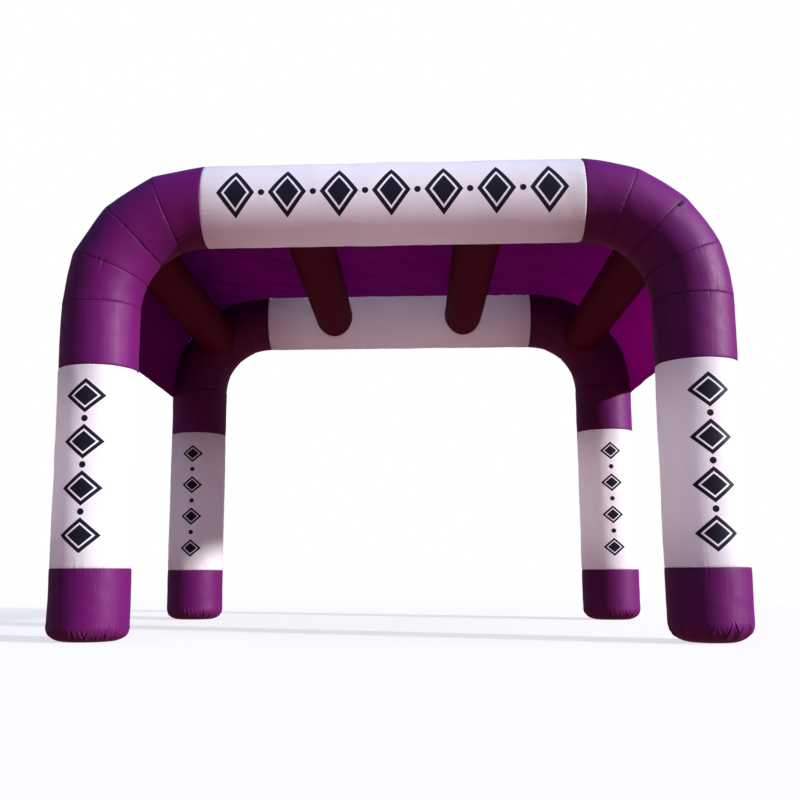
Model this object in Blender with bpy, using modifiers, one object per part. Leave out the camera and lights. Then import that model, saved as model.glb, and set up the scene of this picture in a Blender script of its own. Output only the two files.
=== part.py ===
"""Inflatable arch tent: two air-filled arches, four air tubes between them and one roof sheet.

Metres, +Z up. X runs across the arches, Y from the front arch (-Y) to the rear arch (+Y).
The origin is on the ground in the middle of the four feet.
"""
import math

import bmesh
import bpy
from mathutils import Matrix, Vector

# Main sizes of one arch
LEG_SPACING = 5.30
BEAM_HEIGHT = 3.89
LEG_RADIUS = 0.350
BEAM_RADIUS = 0.372
BEAM_BAND_HALF = 1.70
LEG_BAND_LOW = 0.615
LEG_BAND_HIGH = 2.365
ARCH_SPACING = 4.37

# The corner of an arch: equal gores around a bend centre level with the top of the straight leg
GORES = 4
BEND_RADIUS = LEG_SPACING / 2 - BEAM_BAND_HALF
BEND_X = BEAM_BAND_HALF
BEND_Z = BEAM_HEIGHT - BEND_RADIUS
GORE_ANGLE = 90.0 / GORES
SEAM_PEAK = 0.006

# Seams: the cloth is drawn in where two panels are sewn
SEAM_DRAW = 0.008
SEAM_REACH = 0.035
GORE_SEAM_SHARE = 0.07
GORE_RING_SHARES = (0.0, GORE_SEAM_SHARE, 0.5, 1 - GORE_SEAM_SHARE, 1.0)

# Air tubes between the arches
PURLIN_RADIUS = 0.235
MID_PURLIN_X = 0.833
MID_PURLIN_Z = 3.86
EAVE_PURLIN_ANGLE = 45.0
EAVE_WRAP_ANGLE = 3.8

# Roof sheet
SHEET_THICKNESS = 0.003
HEM_HEIGHT = 2.87
CLOCK_AT_BEAM = 45.0
CLOCK_AT_LEG = 15.0
SHEET_EDGE_CLEARANCE = 0.0006
SHEET_ROWS_ALONG_Y = 16
RIDGE_STEPS = 3
ROOF_BAY_STEPS = 4

# Sewn guy tab on the middle seam of the front right corner
TAB_WIDTH = 0.070
TAB_REACH = 0.034
TAB_THICKNESS = 0.004
TAB_STEPS = 10
TAB_CLOCK = 60.0
TAB_ANGLE = 45.0
TAB_LEAN = math.radians(58.0)

# Gap between pieces that touch, and half of it for faces that meet at a seam
SEAT = 0.0003
HALF_SEAT = SEAT / 2

SIDES = 24
FOOT_ARC_STEPS = 5
SHARP_EDGE = math.radians(40)
WELD = 0.00005

# Rounded lower edge of each foot: how far in and how far up the rounding reaches
FEET = {
    # arch and side: (corner_width, corner_height)
    ("front", "left"): (0.140, 0.130),
    ("front", "right"): (0.190, 0.165),
    ("rear", "left"): (0.150, 0.135),
    ("rear", "right"): (0.160, 0.145),
}

# Sheet between the arches, from the ridge down to the hem. drop is how far the sheet lies below
# the line of its sewn edges where it rests, and bay how much further it sags between its supports.
# The drops over the tubes are worked out from the tubes.
RIDGE_BAY = 0.030
ROOF_BAY = 0.034
SIDE_DROP = 0.052
SIDE_BAY = 0.010
HEM_DROP = 0.004
ROOF_BAY_ANGLE = 12.0
SIDE_ANGLE = 70.0


def clear_scene():
    """Remove every object of the open scene."""
    for thing in list(bpy.data.objects):
        bpy.data.objects.remove(thing, do_unlink=True)


def new_collection(name):
    """Make a collection in the scene."""
    group = bpy.data.collections.new(name)
    bpy.context.scene.collection.children.link(group)
    return group


def cloth_material(name, colour, roughness):
    """A coated cloth in one colour."""
    material = bpy.data.materials.new(name)
    material.use_nodes = True
    shader = material.node_tree.nodes["Principled BSDF"]
    shader.inputs["Base Color"].default_value = (*colour, 1.0)
    shader.inputs["Roughness"].default_value = roughness
    shader.inputs["Metallic"].default_value = 0.0
    return material


def place(name, mesh, material, group, matrix=None):
    """Put a mesh in a collection as one named object."""
    thing = bpy.data.objects.new(name, mesh)
    if material is not None and not mesh.materials:
        mesh.materials.append(material)
    group.objects.link(thing)
    if matrix is not None:
        thing.matrix_world = matrix
    return thing


def finish_mesh(shape, name):
    """Turn a bmesh into a smooth-shaded mesh with its faces pointing out."""
    bmesh.ops.recalc_face_normals(shape, faces=shape.faces)
    mesh = bpy.data.meshes.new(name)
    shape.to_mesh(mesh)
    shape.free()
    mesh.shade_smooth()
    mesh.set_sharp_from_angle(angle=SHARP_EDGE)
    return mesh


def blend(start, end, share):
    """Ease from one value to another, level at both ends."""
    share = min(max(share, 0.0), 1.0)
    return start + (end - start) * (1 - math.cos(math.pi * share)) / 2


def tube_radius(angle):
    """Radius of the arch tube at an angle round the corner, 0 at the beam and 90 at the leg."""
    return BEAM_RADIUS + (LEG_RADIUS - BEAM_RADIUS) * angle / 90.0


def corner_scale(angle):
    """The corner is a soft polygon: it stands out a little more at the seams between gores."""
    distance = min(abs(angle - GORE_ANGLE * number) for number in range(1, GORES))
    return 1 + SEAM_PEAK * max(0.0, 1 - distance / (GORE_ANGLE / 2))


def corner_point(angle, clock, radius, shift=0.0):
    """Point on the tube of the right corner, in the arch's own plane.

    clock is measured round the tube from its outer side, and shift is a step along the tube.
    """
    turn = math.radians(angle)
    around = math.radians(clock)
    reach = (BEND_RADIUS + radius * math.cos(around)) * corner_scale(angle)
    along_x = shift * math.cos(turn)
    along_z = -shift * math.sin(turn)
    return Vector((
        BEND_X + reach * math.sin(turn) + along_x,
        radius * math.sin(around),
        BEND_Z + reach * math.cos(turn) + along_z,
    ))


def loft(rings, name):
    """Closed body through rings of points, with flat ends."""
    shape = bmesh.new()
    loops = [[shape.verts.new(point) for point in ring] for ring in rings]
    for lower, upper in zip(loops, loops[1:]):
        for index in range(SIDES):
            after = (index + 1) % SIDES
            shape.faces.new((lower[index], lower[after], upper[after]))
            shape.faces.new((lower[index], upper[after], upper[index]))
    shape.faces.new(loops[0])
    shape.faces.new(loops[-1])
    return finish_mesh(shape, name)


def corner_ring(angle, radius, shift=0.0):
    """One ring of points round the tube."""
    return [corner_point(angle, 360.0 * index / SIDES, radius, shift) for index in range(SIDES)]


def gore_rings(number, grow=0.0):
    """Rings of one gore, drawn in at both of its seams."""
    first = GORE_ANGLE * number
    rings = []
    for share in GORE_RING_SHARES:
        angle = first + GORE_ANGLE * share
        at_seam = share in (0.0, 1.0)
        radius = tube_radius(angle) - (SEAM_DRAW if at_seam else 0.0) + grow
        shift = (HALF_SEAT if share == 0.0 else -HALF_SEAT) if at_seam and grow == 0.0 else 0.0
        rings.append(corner_ring(angle, radius, shift))
    return rings


def gore_mesh(number):
    """One cut gore of the right corner."""
    return loft(gore_rings(number), "gore_%d" % (number + 1))


def profile_mesh(points, name):
    """Open profile of a turned piece: points are (radius, height), from the top down."""
    mesh = bpy.data.meshes.new(name)
    edges = [(index, index + 1) for index in range(len(points) - 1)]
    mesh.from_pydata([(radius, 0.0, height) for radius, height in points], edges, [])
    return mesh


def turned(name, points, material, group, matrix):
    """Turn a profile into a closed solid."""
    thing = place(name, profile_mesh(points, name), material, group, matrix)
    screw = thing.modifiers.new("turn", "SCREW")
    screw.steps = SIDES
    screw.render_steps = SIDES
    screw.use_merge_vertices = True
    screw.merge_threshold = WELD
    screw.use_smooth_shade = True
    return thing


def panel_profile(radius, top, bottom):
    """Profile of a straight tube panel between two seams."""
    top = top - HALF_SEAT
    bottom = bottom + HALF_SEAT
    return [
        (0.0, top),
        (radius - SEAM_DRAW, top),
        (radius, top - SEAM_REACH),
        (radius, bottom + SEAM_REACH),
        (radius - SEAM_DRAW, bottom),
        (0.0, bottom),
    ]


def foot_profile(corner_width, corner_height):
    """Profile of a foot: drawn in at its seam, round at its lower edge, flat underneath."""
    top = LEG_BAND_LOW - HALF_SEAT
    points = [(0.0, top), (LEG_RADIUS - SEAM_DRAW, top), (LEG_RADIUS, top - SEAM_REACH)]
    for step in range(FOOT_ARC_STEPS + 1):
        turn = math.radians(90.0 * step / FOOT_ARC_STEPS)
        radius = LEG_RADIUS - corner_width * (1 - math.cos(turn))
        height = corner_height * (1 - math.sin(turn))
        points.append((radius, height))
    points.append((0.0, 0.0))
    return points


def leg_matrix(arch_y, sign):
    """Where a leg stands."""
    return Matrix.Translation((sign * LEG_SPACING / 2, arch_y, 0.0))


def side_matrix(arch_y, sign):
    """The left corner is the right one turned half round."""
    turn = Matrix.Rotation(0.0 if sign > 0 else math.pi, 4, "Z")
    return Matrix.Translation((0.0, arch_y, 0.0)) @ turn


def add_arch(arch, arch_y, gores, purple, white, group):
    """One arch: two legs of three panels, two corners of four gores and the beam's band."""
    for side, sign in (("left", -1), ("right", 1)):
        stand = leg_matrix(arch_y, sign)
        foot = foot_profile(*FEET[(arch, side)])
        band = panel_profile(LEG_RADIUS, LEG_BAND_HIGH, LEG_BAND_LOW)
        upper = panel_profile(LEG_RADIUS, BEND_Z, LEG_BAND_HIGH)
        turned("%s_foot_%s" % (arch, side), foot, purple, group, stand)
        turned("%s_leg_band_%s" % (arch, side), band, white, group, stand)
        turned("%s_upper_leg_%s" % (arch, side), upper, purple, group, stand)
        for number, gore in enumerate(gores):
            name = "%s_gore_%s_%d" % (arch, side, number + 1)
            place(name, gore, purple, group, side_matrix(arch_y, sign))
    lie_along_x = Matrix.Rotation(math.radians(90), 4, "Y")
    beam = Matrix.Translation((0.0, arch_y, BEAM_HEIGHT)) @ lie_along_x
    band = panel_profile(BEAM_RADIUS, BEAM_BAND_HALF, -BEAM_BAND_HALF)
    turned("%s_beam_band" % arch, band, white, group, beam)


def cylinder_along(axis, radius, length, name):
    """Plain closed cylinder along X or Y, centred on the origin."""
    shape = bmesh.new()
    bmesh.ops.create_cone(
        shape, cap_ends=True, segments=SIDES, radius1=radius, radius2=radius, depth=length
    )
    turn = Matrix.Rotation(math.radians(90), 4, "Y" if axis == "X" else "X")
    bmesh.ops.transform(shape, matrix=turn, verts=shape.verts)
    return finish_mesh(shape, name)


def add_cutter(name, mesh, matrix, cutters):
    """A shape that only cuts others."""
    thing = place(name, mesh, None, cutters, matrix)
    thing.hide_render = True
    thing.display_type = "WIRE"
    return thing


def cut(thing, cutter):
    """Take a cutter's shape out of a piece."""
    boolean = thing.modifiers.new("cut_" + cutter.name, "BOOLEAN")
    boolean.operation = "DIFFERENCE"
    boolean.solver = "EXACT"
    boolean.object = cutter


def eave_point():
    """Centre of the right eave tube in the arch's plane."""
    turn = math.radians(EAVE_PURLIN_ANGLE)
    return (BEND_X + BEND_RADIUS * math.sin(turn), BEND_Z + BEND_RADIUS * math.cos(turn))


def add_purlins(purple, group, cutters):
    """Four air tubes whose ends are cut to the arches' round sides."""
    beam_length = 2 * (BEAM_BAND_HALF - 2 * SEAM_REACH)
    beam = cylinder_along("X", BEAM_RADIUS + SEAT, beam_length, "beam_cutter")
    below_seam = int(EAVE_PURLIN_ANGLE // GORE_ANGLE)
    corner_rings = gore_rings(below_seam - 1, SEAT) + gore_rings(below_seam, SEAT)[1:]
    corner = loft(corner_rings, "corner_cutter")
    for arch, arch_y in (("front", -ARCH_SPACING / 2), ("rear", ARCH_SPACING / 2)):
        place_beam = Matrix.Translation((0.0, arch_y, BEAM_HEIGHT))
        add_cutter("%s_beam_cutter" % arch, beam, place_beam, cutters)
        for side, sign in (("left", -1), ("right", 1)):
            name = "%s_corner_cutter_%s" % (arch, side)
            add_cutter(name, corner, side_matrix(arch_y, sign), cutters)
    tube = cylinder_along("Y", PURLIN_RADIUS, ARCH_SPACING, "purlin_tube")
    eave_x, eave_z = eave_point()
    for side, sign in (("left", -1), ("right", 1)):
        middle = Matrix.Translation((sign * MID_PURLIN_X, 0.0, MID_PURLIN_Z))
        eave = Matrix.Translation((sign * eave_x, 0.0, eave_z))
        mid_purlin = place("mid_purlin_%s" % side, tube, purple, group, middle)
        eave_purlin = place("eave_purlin_%s" % side, tube, purple, group, eave)
        for arch in ("front", "rear"):
            cut(mid_purlin, cutters.objects["%s_beam_cutter" % arch])
            cut(eave_purlin, cutters.objects["%s_corner_cutter_%s" % (arch, side)])


def edge_reach(angle):
    """Where the sheet is sewn to the tube: how far outside the tube's axis, how far inside its arch."""
    clock = math.radians(blend(CLOCK_AT_BEAM, CLOCK_AT_LEG, angle / 90.0))
    radius = tube_radius(angle) + SHEET_EDGE_CLEARANCE
    return radius * math.cos(clock), radius * math.sin(clock)


def sheet_places():
    """Places down the right half of the sheet: (kind, value), kind being roof, corner or leg."""
    near_seam = GORE_ANGLE * GORE_SEAM_SHARE
    angles = {0.0, 90.0, EAVE_PURLIN_ANGLE}
    for number in range(GORES):
        first = GORE_ANGLE * number
        angles.update((first + near_seam, first + GORE_ANGLE / 2, first + GORE_ANGLE - near_seam))
    angles.update((EAVE_PURLIN_ANGLE - EAVE_WRAP_ANGLE, EAVE_PURLIN_ANGLE + EAVE_WRAP_ANGLE))
    places = [("roof", MID_PURLIN_X * step / RIDGE_STEPS) for step in range(RIDGE_STEPS + 1)]
    roof_step = (BEAM_BAND_HALF - MID_PURLIN_X) / ROOF_BAY_STEPS
    places += [("roof", MID_PURLIN_X + roof_step * step) for step in range(1, ROOF_BAY_STEPS)]
    places += [("corner", angle) for angle in sorted(angles)]
    places.append(("leg", HEM_HEIGHT))
    return places


def profile_distance(kind, value):
    """Distance along the profile from the ridge."""
    if kind == "roof":
        return value
    arc = BEND_RADIUS + BEAM_RADIUS
    if kind == "corner":
        return BEAM_BAND_HALF + arc * math.radians(value)
    return BEAM_BAND_HALF + arc * math.radians(90.0) + BEND_Z - value


def sheet_sag(kind, value):
    """Drop to the rest line and extra sag between supports, at one place of the profile."""
    eave_drop = edge_reach(EAVE_PURLIN_ANGLE)[0] - (PURLIN_RADIUS + SEAT)
    purlin_drop = BEAM_HEIGHT + edge_reach(0.0)[0] - (MID_PURLIN_Z + PURLIN_RADIUS + SEAT)
    rows = (
        # distance, drop, bay
        (0.0, purlin_drop, RIDGE_BAY),
        (MID_PURLIN_X, purlin_drop, 0.0),
        (profile_distance("corner", ROOF_BAY_ANGLE), (purlin_drop + eave_drop) / 2, ROOF_BAY),
        (profile_distance("corner", EAVE_PURLIN_ANGLE), eave_drop, 0.0),
        (profile_distance("corner", SIDE_ANGLE), SIDE_DROP, SIDE_BAY),
        (profile_distance("leg", HEM_HEIGHT), HEM_DROP, 0.0),
    )
    here = profile_distance(kind, value)
    for (near, drop_a, bay_a), (far, drop_b, bay_b) in zip(rows, rows[1:]):
        if here < far:
            share = (here - near) / (far - near)
            return blend(drop_a, drop_b, share), blend(bay_a, bay_b, share)
    return rows[-1][1:]


def sheet_point(kind, value, sign, across):
    """Underside of the sheet; across runs from -1 at the front arch to 1 at the rear arch."""
    drop, bay = sheet_sag(kind, value)
    sag = drop * (1 - across ** 4) + bay * (1 - across ** 2) ** 2
    angle = {"roof": 0.0, "corner": value, "leg": 90.0}[kind]
    outward, inward = edge_reach(angle)
    y = (ARCH_SPACING / 2 - inward) * across
    if kind == "roof":
        return Vector((sign * value, y, BEAM_HEIGHT + outward - sag))
    if kind == "leg":
        return Vector((sign * (LEG_SPACING / 2 + outward - sag), y, value))
    edge_only = 1 + (corner_scale(angle) - 1) * across ** 4
    reach = (BEND_RADIUS + outward - sag) * edge_only
    turn = math.radians(angle)
    return Vector((sign * (BEND_X + reach * math.sin(turn)), y, BEND_Z + reach * math.cos(turn)))


def add_canopy(cloth, group):
    """One sheet from hem to hem, over the eave tubes and the roof tubes."""
    half = sheet_places()
    columns = [(kind, value, -1) for kind, value in reversed(half[1:])]
    columns += [(kind, value, 1) for kind, value in half]
    shape = bmesh.new()
    steps = len(columns) - 1
    bmesh.ops.create_grid(shape, x_segments=steps, y_segments=SHEET_ROWS_ALONG_Y, size=1.0)
    for vertex in shape.verts:
        column = columns[round((vertex.co.x + 1) / 2 * steps)]
        vertex.co = sheet_point(*column, vertex.co.y)
    mesh = bpy.data.meshes.new("canopy")
    shape.to_mesh(mesh)
    shape.free()
    mesh.shade_smooth()
    canopy = place("canopy", mesh, cloth, group)
    solidify = canopy.modifiers.new("cloth", "SOLIDIFY")
    solidify.thickness = SHEET_THICKNESS
    solidify.offset = 1.0
    solidify.use_even_offset = True


def add_guy_tab(webbing, group):
    """A half-round flap of webbing out of the corner's middle seam, leaning towards the leg."""
    foot = corner_point(TAB_ANGLE, -TAB_CLOCK, tube_radius(TAB_ANGLE) - SEAM_DRAW)
    axis = corner_point(TAB_ANGLE, 0.0, 0.0)
    out = (foot - axis).normalized()
    turn = math.radians(TAB_ANGLE)
    along = Vector((math.cos(turn), 0.0, -math.sin(turn)))
    across = along.cross(out).normalized()
    lean = out * math.cos(TAB_LEAN) + along * math.sin(TAB_LEAN)
    across_lean = Matrix((across, lean, across.cross(lean))).transposed().to_4x4()
    outline = bpy.data.curves.new("guy_tab", "CURVE")
    outline.dimensions = "2D"
    outline.fill_mode = "BOTH"
    outline.extrude = TAB_THICKNESS / 2
    spline = outline.splines.new("POLY")
    spline.points.add(TAB_STEPS)
    for index in range(TAB_STEPS + 1):
        sweep = math.pi * index / TAB_STEPS
        x = TAB_WIDTH / 2 * math.cos(sweep)
        y = TAB_REACH * math.sin(sweep)
        spline.points[index].co = (x, y, 0.0, 1.0)
    spline.use_cyclic_u = True
    outline.materials.append(webbing)
    tab = bpy.data.objects.new("guy_tab", outline)
    group.objects.link(tab)
    seam_slope = SEAM_DRAW / (BEND_RADIUS * math.radians(GORE_ANGLE * GORE_SEAM_SHARE))
    edge_below = TAB_THICKNESS / 2 * (math.sin(TAB_LEAN) + seam_slope * math.cos(TAB_LEAN))
    seat = foot + out * (SEAT + edge_below) + Vector((0.0, -ARCH_SPACING / 2, 0.0))
    tab.matrix_world = Matrix.Translation(seat) @ across_lean


def main():
    """Build the whole tent."""
    clear_scene()
    group = new_collection("inflatable_arch")
    cutters = new_collection("cutters")
    purple = cloth_material("purple_coated_cloth", (0.105, 0.010, 0.110), 0.42)
    white = cloth_material("white_coated_cloth", (0.86, 0.85, 0.87), 0.45)
    canopy_cloth = cloth_material("purple_canopy_cloth", (0.140, 0.008, 0.150), 0.50)
    webbing = cloth_material("dark_webbing", (0.020, 0.006, 0.022), 0.70)
    gores = [gore_mesh(number) for number in range(GORES)]
    add_arch("front", -ARCH_SPACING / 2, gores, purple, white, group)
    add_arch("rear", ARCH_SPACING / 2, gores, purple, white, group)
    add_purlins(purple, group, cutters)
    add_canopy(canopy_cloth, group)
    add_guy_tab(webbing, group)


main()
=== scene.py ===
"""Looks of the inflatable arch tent.

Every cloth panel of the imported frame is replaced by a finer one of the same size, with its seams,
puckers and creases. Sizes come from the frame, and the lengths named below are in metres.
"""
import math

import bpy
import numpy as np
from mathutils import Matrix, Vector


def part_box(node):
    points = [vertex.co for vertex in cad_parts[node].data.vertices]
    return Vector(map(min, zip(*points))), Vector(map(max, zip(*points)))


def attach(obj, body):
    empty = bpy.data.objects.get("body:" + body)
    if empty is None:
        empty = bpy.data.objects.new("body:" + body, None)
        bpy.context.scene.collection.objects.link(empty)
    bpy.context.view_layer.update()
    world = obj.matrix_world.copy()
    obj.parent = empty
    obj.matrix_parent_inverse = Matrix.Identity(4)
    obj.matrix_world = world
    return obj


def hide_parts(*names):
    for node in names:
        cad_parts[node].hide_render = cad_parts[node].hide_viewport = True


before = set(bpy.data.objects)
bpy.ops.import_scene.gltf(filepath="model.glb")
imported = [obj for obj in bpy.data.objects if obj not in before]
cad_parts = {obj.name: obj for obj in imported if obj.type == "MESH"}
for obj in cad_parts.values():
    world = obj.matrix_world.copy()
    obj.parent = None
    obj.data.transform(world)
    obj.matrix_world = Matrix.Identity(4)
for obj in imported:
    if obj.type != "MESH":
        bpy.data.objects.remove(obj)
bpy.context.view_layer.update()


def middle(node):
    """Centre of a CAD node's box."""
    low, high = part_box(node)
    return (low + high) / 2


def extent(node):
    """Size of a CAD node's box."""
    low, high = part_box(node)
    return high - low


# Sizes of the frame
LEG_X = middle("front_leg_band_right").x
LEG_RADIUS = extent("front_leg_band_right").x / 2
ARCH_Y = middle("rear_leg_band_right").y
BAND_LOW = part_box("front_leg_band_right")[0].z
BAND_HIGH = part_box("front_leg_band_right")[1].z
BEAM_Z = middle("front_beam_band").z
BEAM_RADIUS = extent("front_beam_band").z / 2
BAND_END = extent("front_beam_band").x / 2
BEND_X = BAND_END
BEND_RADIUS = LEG_X - BEND_X
BEND_Z = BEAM_Z - BEND_RADIUS
MID_X = middle("mid_purlin_right").x
MID_Z = middle("mid_purlin_right").z
EAVE_X = middle("eave_purlin_right").x
EAVE_Z = middle("eave_purlin_right").z
PURLIN_RADIUS = extent("mid_purlin_right").x / 2
HEM_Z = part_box("canopy")[0].z

# Gores of a corner
GORES = 4
GORE_ANGLE = math.radians(90.0 / GORES)
CORNER_ANGLE = math.radians(90.0)
EAVE_ANGLE = math.radians(45.0)
FACET_LEFT = 0.80
FACET_RIGHT = 0.48
FACET_OUTSIDE = 0.62
SEAM_STAND = 1.012

# Seams and the puckers that run into them
SEAM_DRAW = 0.0042
SEAM_WIDTH = 0.0065
PUCKER_DEPTH = 0.0030
PUCKER_REACH = 0.036
# fewest and most waves round a tube: of puckers, of their patches and of their reach
PUCKERS_ROUND = (46, 100)
PATCHES_ROUND = (1, 7)
REACHES_ROUND = (3, 19)
GORE_PUCKERS = 1.25
FOOT_PUCKERS = 0.5
# height, length of the slow unevenness of a tube
TUBE_WAVES = ((0.0016, 0.55), (0.0007, 0.17))
SIDES = 208
PURLIN_SIDES = 144
FINE_ROW = 0.004
COARSE_ROW = 0.040
ROW_GROWTH = 1.35

# Two rows of stitches beside each seam
STITCH_MIDDLE = 0.012
STITCH_ROWS_APART = 0.008
STITCH_HALF_WIDTH = 0.0009
STITCH_PITCH = 0.0055
STITCH_SHARE = 0.64
FAR_FROM_SEAM = 1.0

# Base seam of the feet and the gathers over it
GATHER_DEPTH = 0.016
GATHER_DEPTHS = (0.30, 1.0)
GATHER_HEIGHTS = (0.055, 0.150)
GATHER_WIDTHS = (0.0070, 0.0120)
GATHER_LEANS = (0.1, 0.9)
GATHER_SPREAD = 0.55
GATHER_SHIFT = 0.35
GATHER_FADE = 0.8
GATHER_BELOW = 0.030
GATHER_RIDGE = 0.6
GATHER_RIDGE_AT = 1.8
BASE_SEAM_DRAW = 0.006
BASE_SEAM_WIDTH = 0.007
FOOT_SIDES = 512
FOOT_FIRST_ROW = 0.012
FOOT_ROW = 0.010
FOOT_CORNER_ROWS = 22
FOOT_FLAT_ROWS = 6
FOOT_FLAT_BELOW = 0.012
FOOT_TOLERANCE = 0.001

# How far the joining tubes' ends go into the arches
PURLIN_TUCK = 0.012

# Roof sheet: as in the frame, with the sags between what carries it
SHEET_THICKNESS = 0.0012
HEM_WIDTH = 0.030
HEM_EXTRA = 0.0018
HEM_STEP = 0.004
HEM_GROOVE = 0.0012
HEM_GROOVE_WIDTH = 0.006
EDGE_SINK = 0.001
CLOCK_AT_BEAM = math.radians(45.0)
CLOCK_AT_LEG = math.radians(15.0)
REST_GAP = 0.0003
RIDGE_BAY = 0.030
ROOF_BAY = 0.034
SIDE_DROP = 0.052
SIDE_BAY = 0.010
HEM_DROP = 0.004
ROOF_BAY_ANGLE = math.radians(12.0)
SIDE_ANGLE = math.radians(70.0)
SHEET_COLUMNS = 264
SHEET_ROWS = 124
ROW_BUNCHING = 1.25
EDGE_HELD = 0.05
# height, length of the slow unevenness of the sheet
SHEET_WAVES = ((0.0032, 0.60), (0.0017, 0.21))
MID_REST_WIDTH = 0.10
EAVE_REST_WIDTH = 0.12
CREASE_WANDER = 0.02
CREASE_TURNS = 7.0
CREASE_FADE = 0.12
CREASE_FADE_SQUARE = 0.05
RIPPLE_HEIGHT = 0.0022
RIPPLE_LENGTHS = (0.07, 0.19)
RIPPLE_COUNT = 8
RIPPLE_REACH = 0.10
RIPPLE_START = 0.02

# Guy tab of the front right corner
TAB_CLOCK = math.radians(60.0)
TAB_LEAN = math.radians(58.0)
TAB_HALF_WIDTH = 0.038
TAB_REACH = 0.044
TAB_HALF_THICKNESS = 0.0018
TAB_ROOT = 0.003
TAB_ROUNDING = 2.4
TAB_BORDER_FROM = 0.84
TAB_BORDER_SHARE = 0.72
TAB_RIPPLE = 0.0012
TAB_DROOP = 0.003

# Camera and picture
PICTURE = 800.0
FOCAL_PIXELS = 1025.66
CENTRE_PIXEL_X = 362.6
CAMERA_PLACE = Vector((0.164, -11.1217, 0.5688))
CAMERA_YAW = -0.0488
CAMERA_PITCH = 0.1676
CAMERA_ROLL = -0.0015
SENSOR = 36.0

# Cloth: reliefs of the materials in metres, then the colours of print and of the brown specks near the
# ground
WEAVE_PITCH = 0.0011
WEAVE_DEPTH = 0.0002
CRUMPLE_DEPTH = 0.006
STREAK_DEPTH = 0.004
STREAKS = (30.0, 2.2, 1.0)
STITCH_DEPTH = 0.0006
THREAD_SHADE = 0.55
LOW_BROWN_HEIGHT = 0.16
LOW_BROWN_SHARE = 0.35
LOW_BROWN = (0.13, 0.075, 0.06)
INK = (0.013, 0.013, 0.026)
RING_INSIDE = 0.60
RING_OUTSIDE = 0.74
DOT_RADIUS = 0.028
WEBBING_PITCH = 0.0024
WEBBING_RIB = 0.0006
WHITE = (0.86, 0.86, 0.87)
SHADED_WHITE = (0.78, 0.77, 0.79)
LIT_WHITE = ((0.99, 0.95, 0.96), (0.95, 0.91, 0.92), 0.42)
# pitch, half across, half along, count
BEAM_PRINT = (0.46, 0.23, 0.17, 7)
LEG_PRINT = (0.40, 0.18, 0.15, 4)
REAR_LEG_PRINT = (0.40, 0.13, 0.11, 4)

# Light, floor and backdrop
VIEW_GAMMA = 0.85
GROUND_TOP = -0.12
SKY_BOTTOM = 0.04
HORIZON = (0.40, 0.340, 0.37)
ZENITH = (0.10, 0.21, 0.70)
GROUND_LIGHT = (0.44, 0.178, 0.168)
SUNS = (
    # name, azimuth, elevation, strength, colour, spread
    ("key", 67.0, 19.0, 6.3, (1.0, 0.97, 0.97), 3.0),
    ("sky_beside_sun", 70.0, 42.0, 1.15, (0.80, 0.90, 1.0), 40.0),
)
FLOOR_REACH = 60.0
FLOOR_SIDES = 96
FLOOR_DROP = 0.001
FLOOR_FADE_START = 4.0
FLOOR_FADE_END = 20.0
FLOOR_OWN_LIGHT = 0.72
PALE_FLOOR = (0.86, 0.84, 0.80)
BACKDROP_REACH = 62.0
BACKDROP_SIDES = 48
BACKDROP_LEVELS = 14
BACKDROP_LOW = -4.0


def blend(start, end, share):
    """Ease from one value to another, level at both ends."""
    share = np.clip(share, 0.0, 1.0)
    return start + (end - start) * (1 - np.cos(np.pi * share)) / 2


def waves(points, length, seed, count=16):
    """Smooth uneven relief of about unit height over points in space."""
    draw = np.random.default_rng(seed)
    ways = draw.normal(size=(count, 3))
    ways /= np.linalg.norm(ways, axis=1, keepdims=True)
    ways *= 2 * np.pi / length * draw.uniform(0.6, 1.4, (count, 1))
    turns = draw.uniform(0, 2 * np.pi, count)
    return np.cos(points @ ways.T + turns).sum(axis=-1) * math.sqrt(2 / count)


def ring_waves(clock, fewest, most, seed, count=10):
    """Uneven relief of about unit height that closes round a ring."""
    draw = np.random.default_rng(seed)
    numbers = draw.integers(fewest, most, count)
    turns = draw.uniform(0, 2 * np.pi, count)
    return np.cos(clock[..., None] * numbers + turns).sum(axis=-1) * math.sqrt(2 / count)


def row_places(length):
    """Places of rows along a panel, close together near both seams."""
    steps = []
    step = FINE_ROW
    while sum(steps) + step < length / 2:
        steps.append(step)
        step = min(step * ROW_GROWTH, COARSE_ROW)
    half = np.concatenate(([0.0], np.cumsum(steps)))
    half *= (length / 2) / half[-1]
    return np.concatenate((half, length - half[-2::-1]))


def ring_clock(sides):
    """Directions round a tube, one for each column, the first one straight behind the middle."""
    return np.linspace(-np.pi, np.pi, sides, endpoint=False)


def mark_seams(mesh, distance):
    """Store how far each point of a mesh is from the nearest seam."""
    layer = mesh.attributes.new("seam", "FLOAT", "POINT")
    layer.data.foreach_set("value", distance.astype(np.float32))


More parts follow.
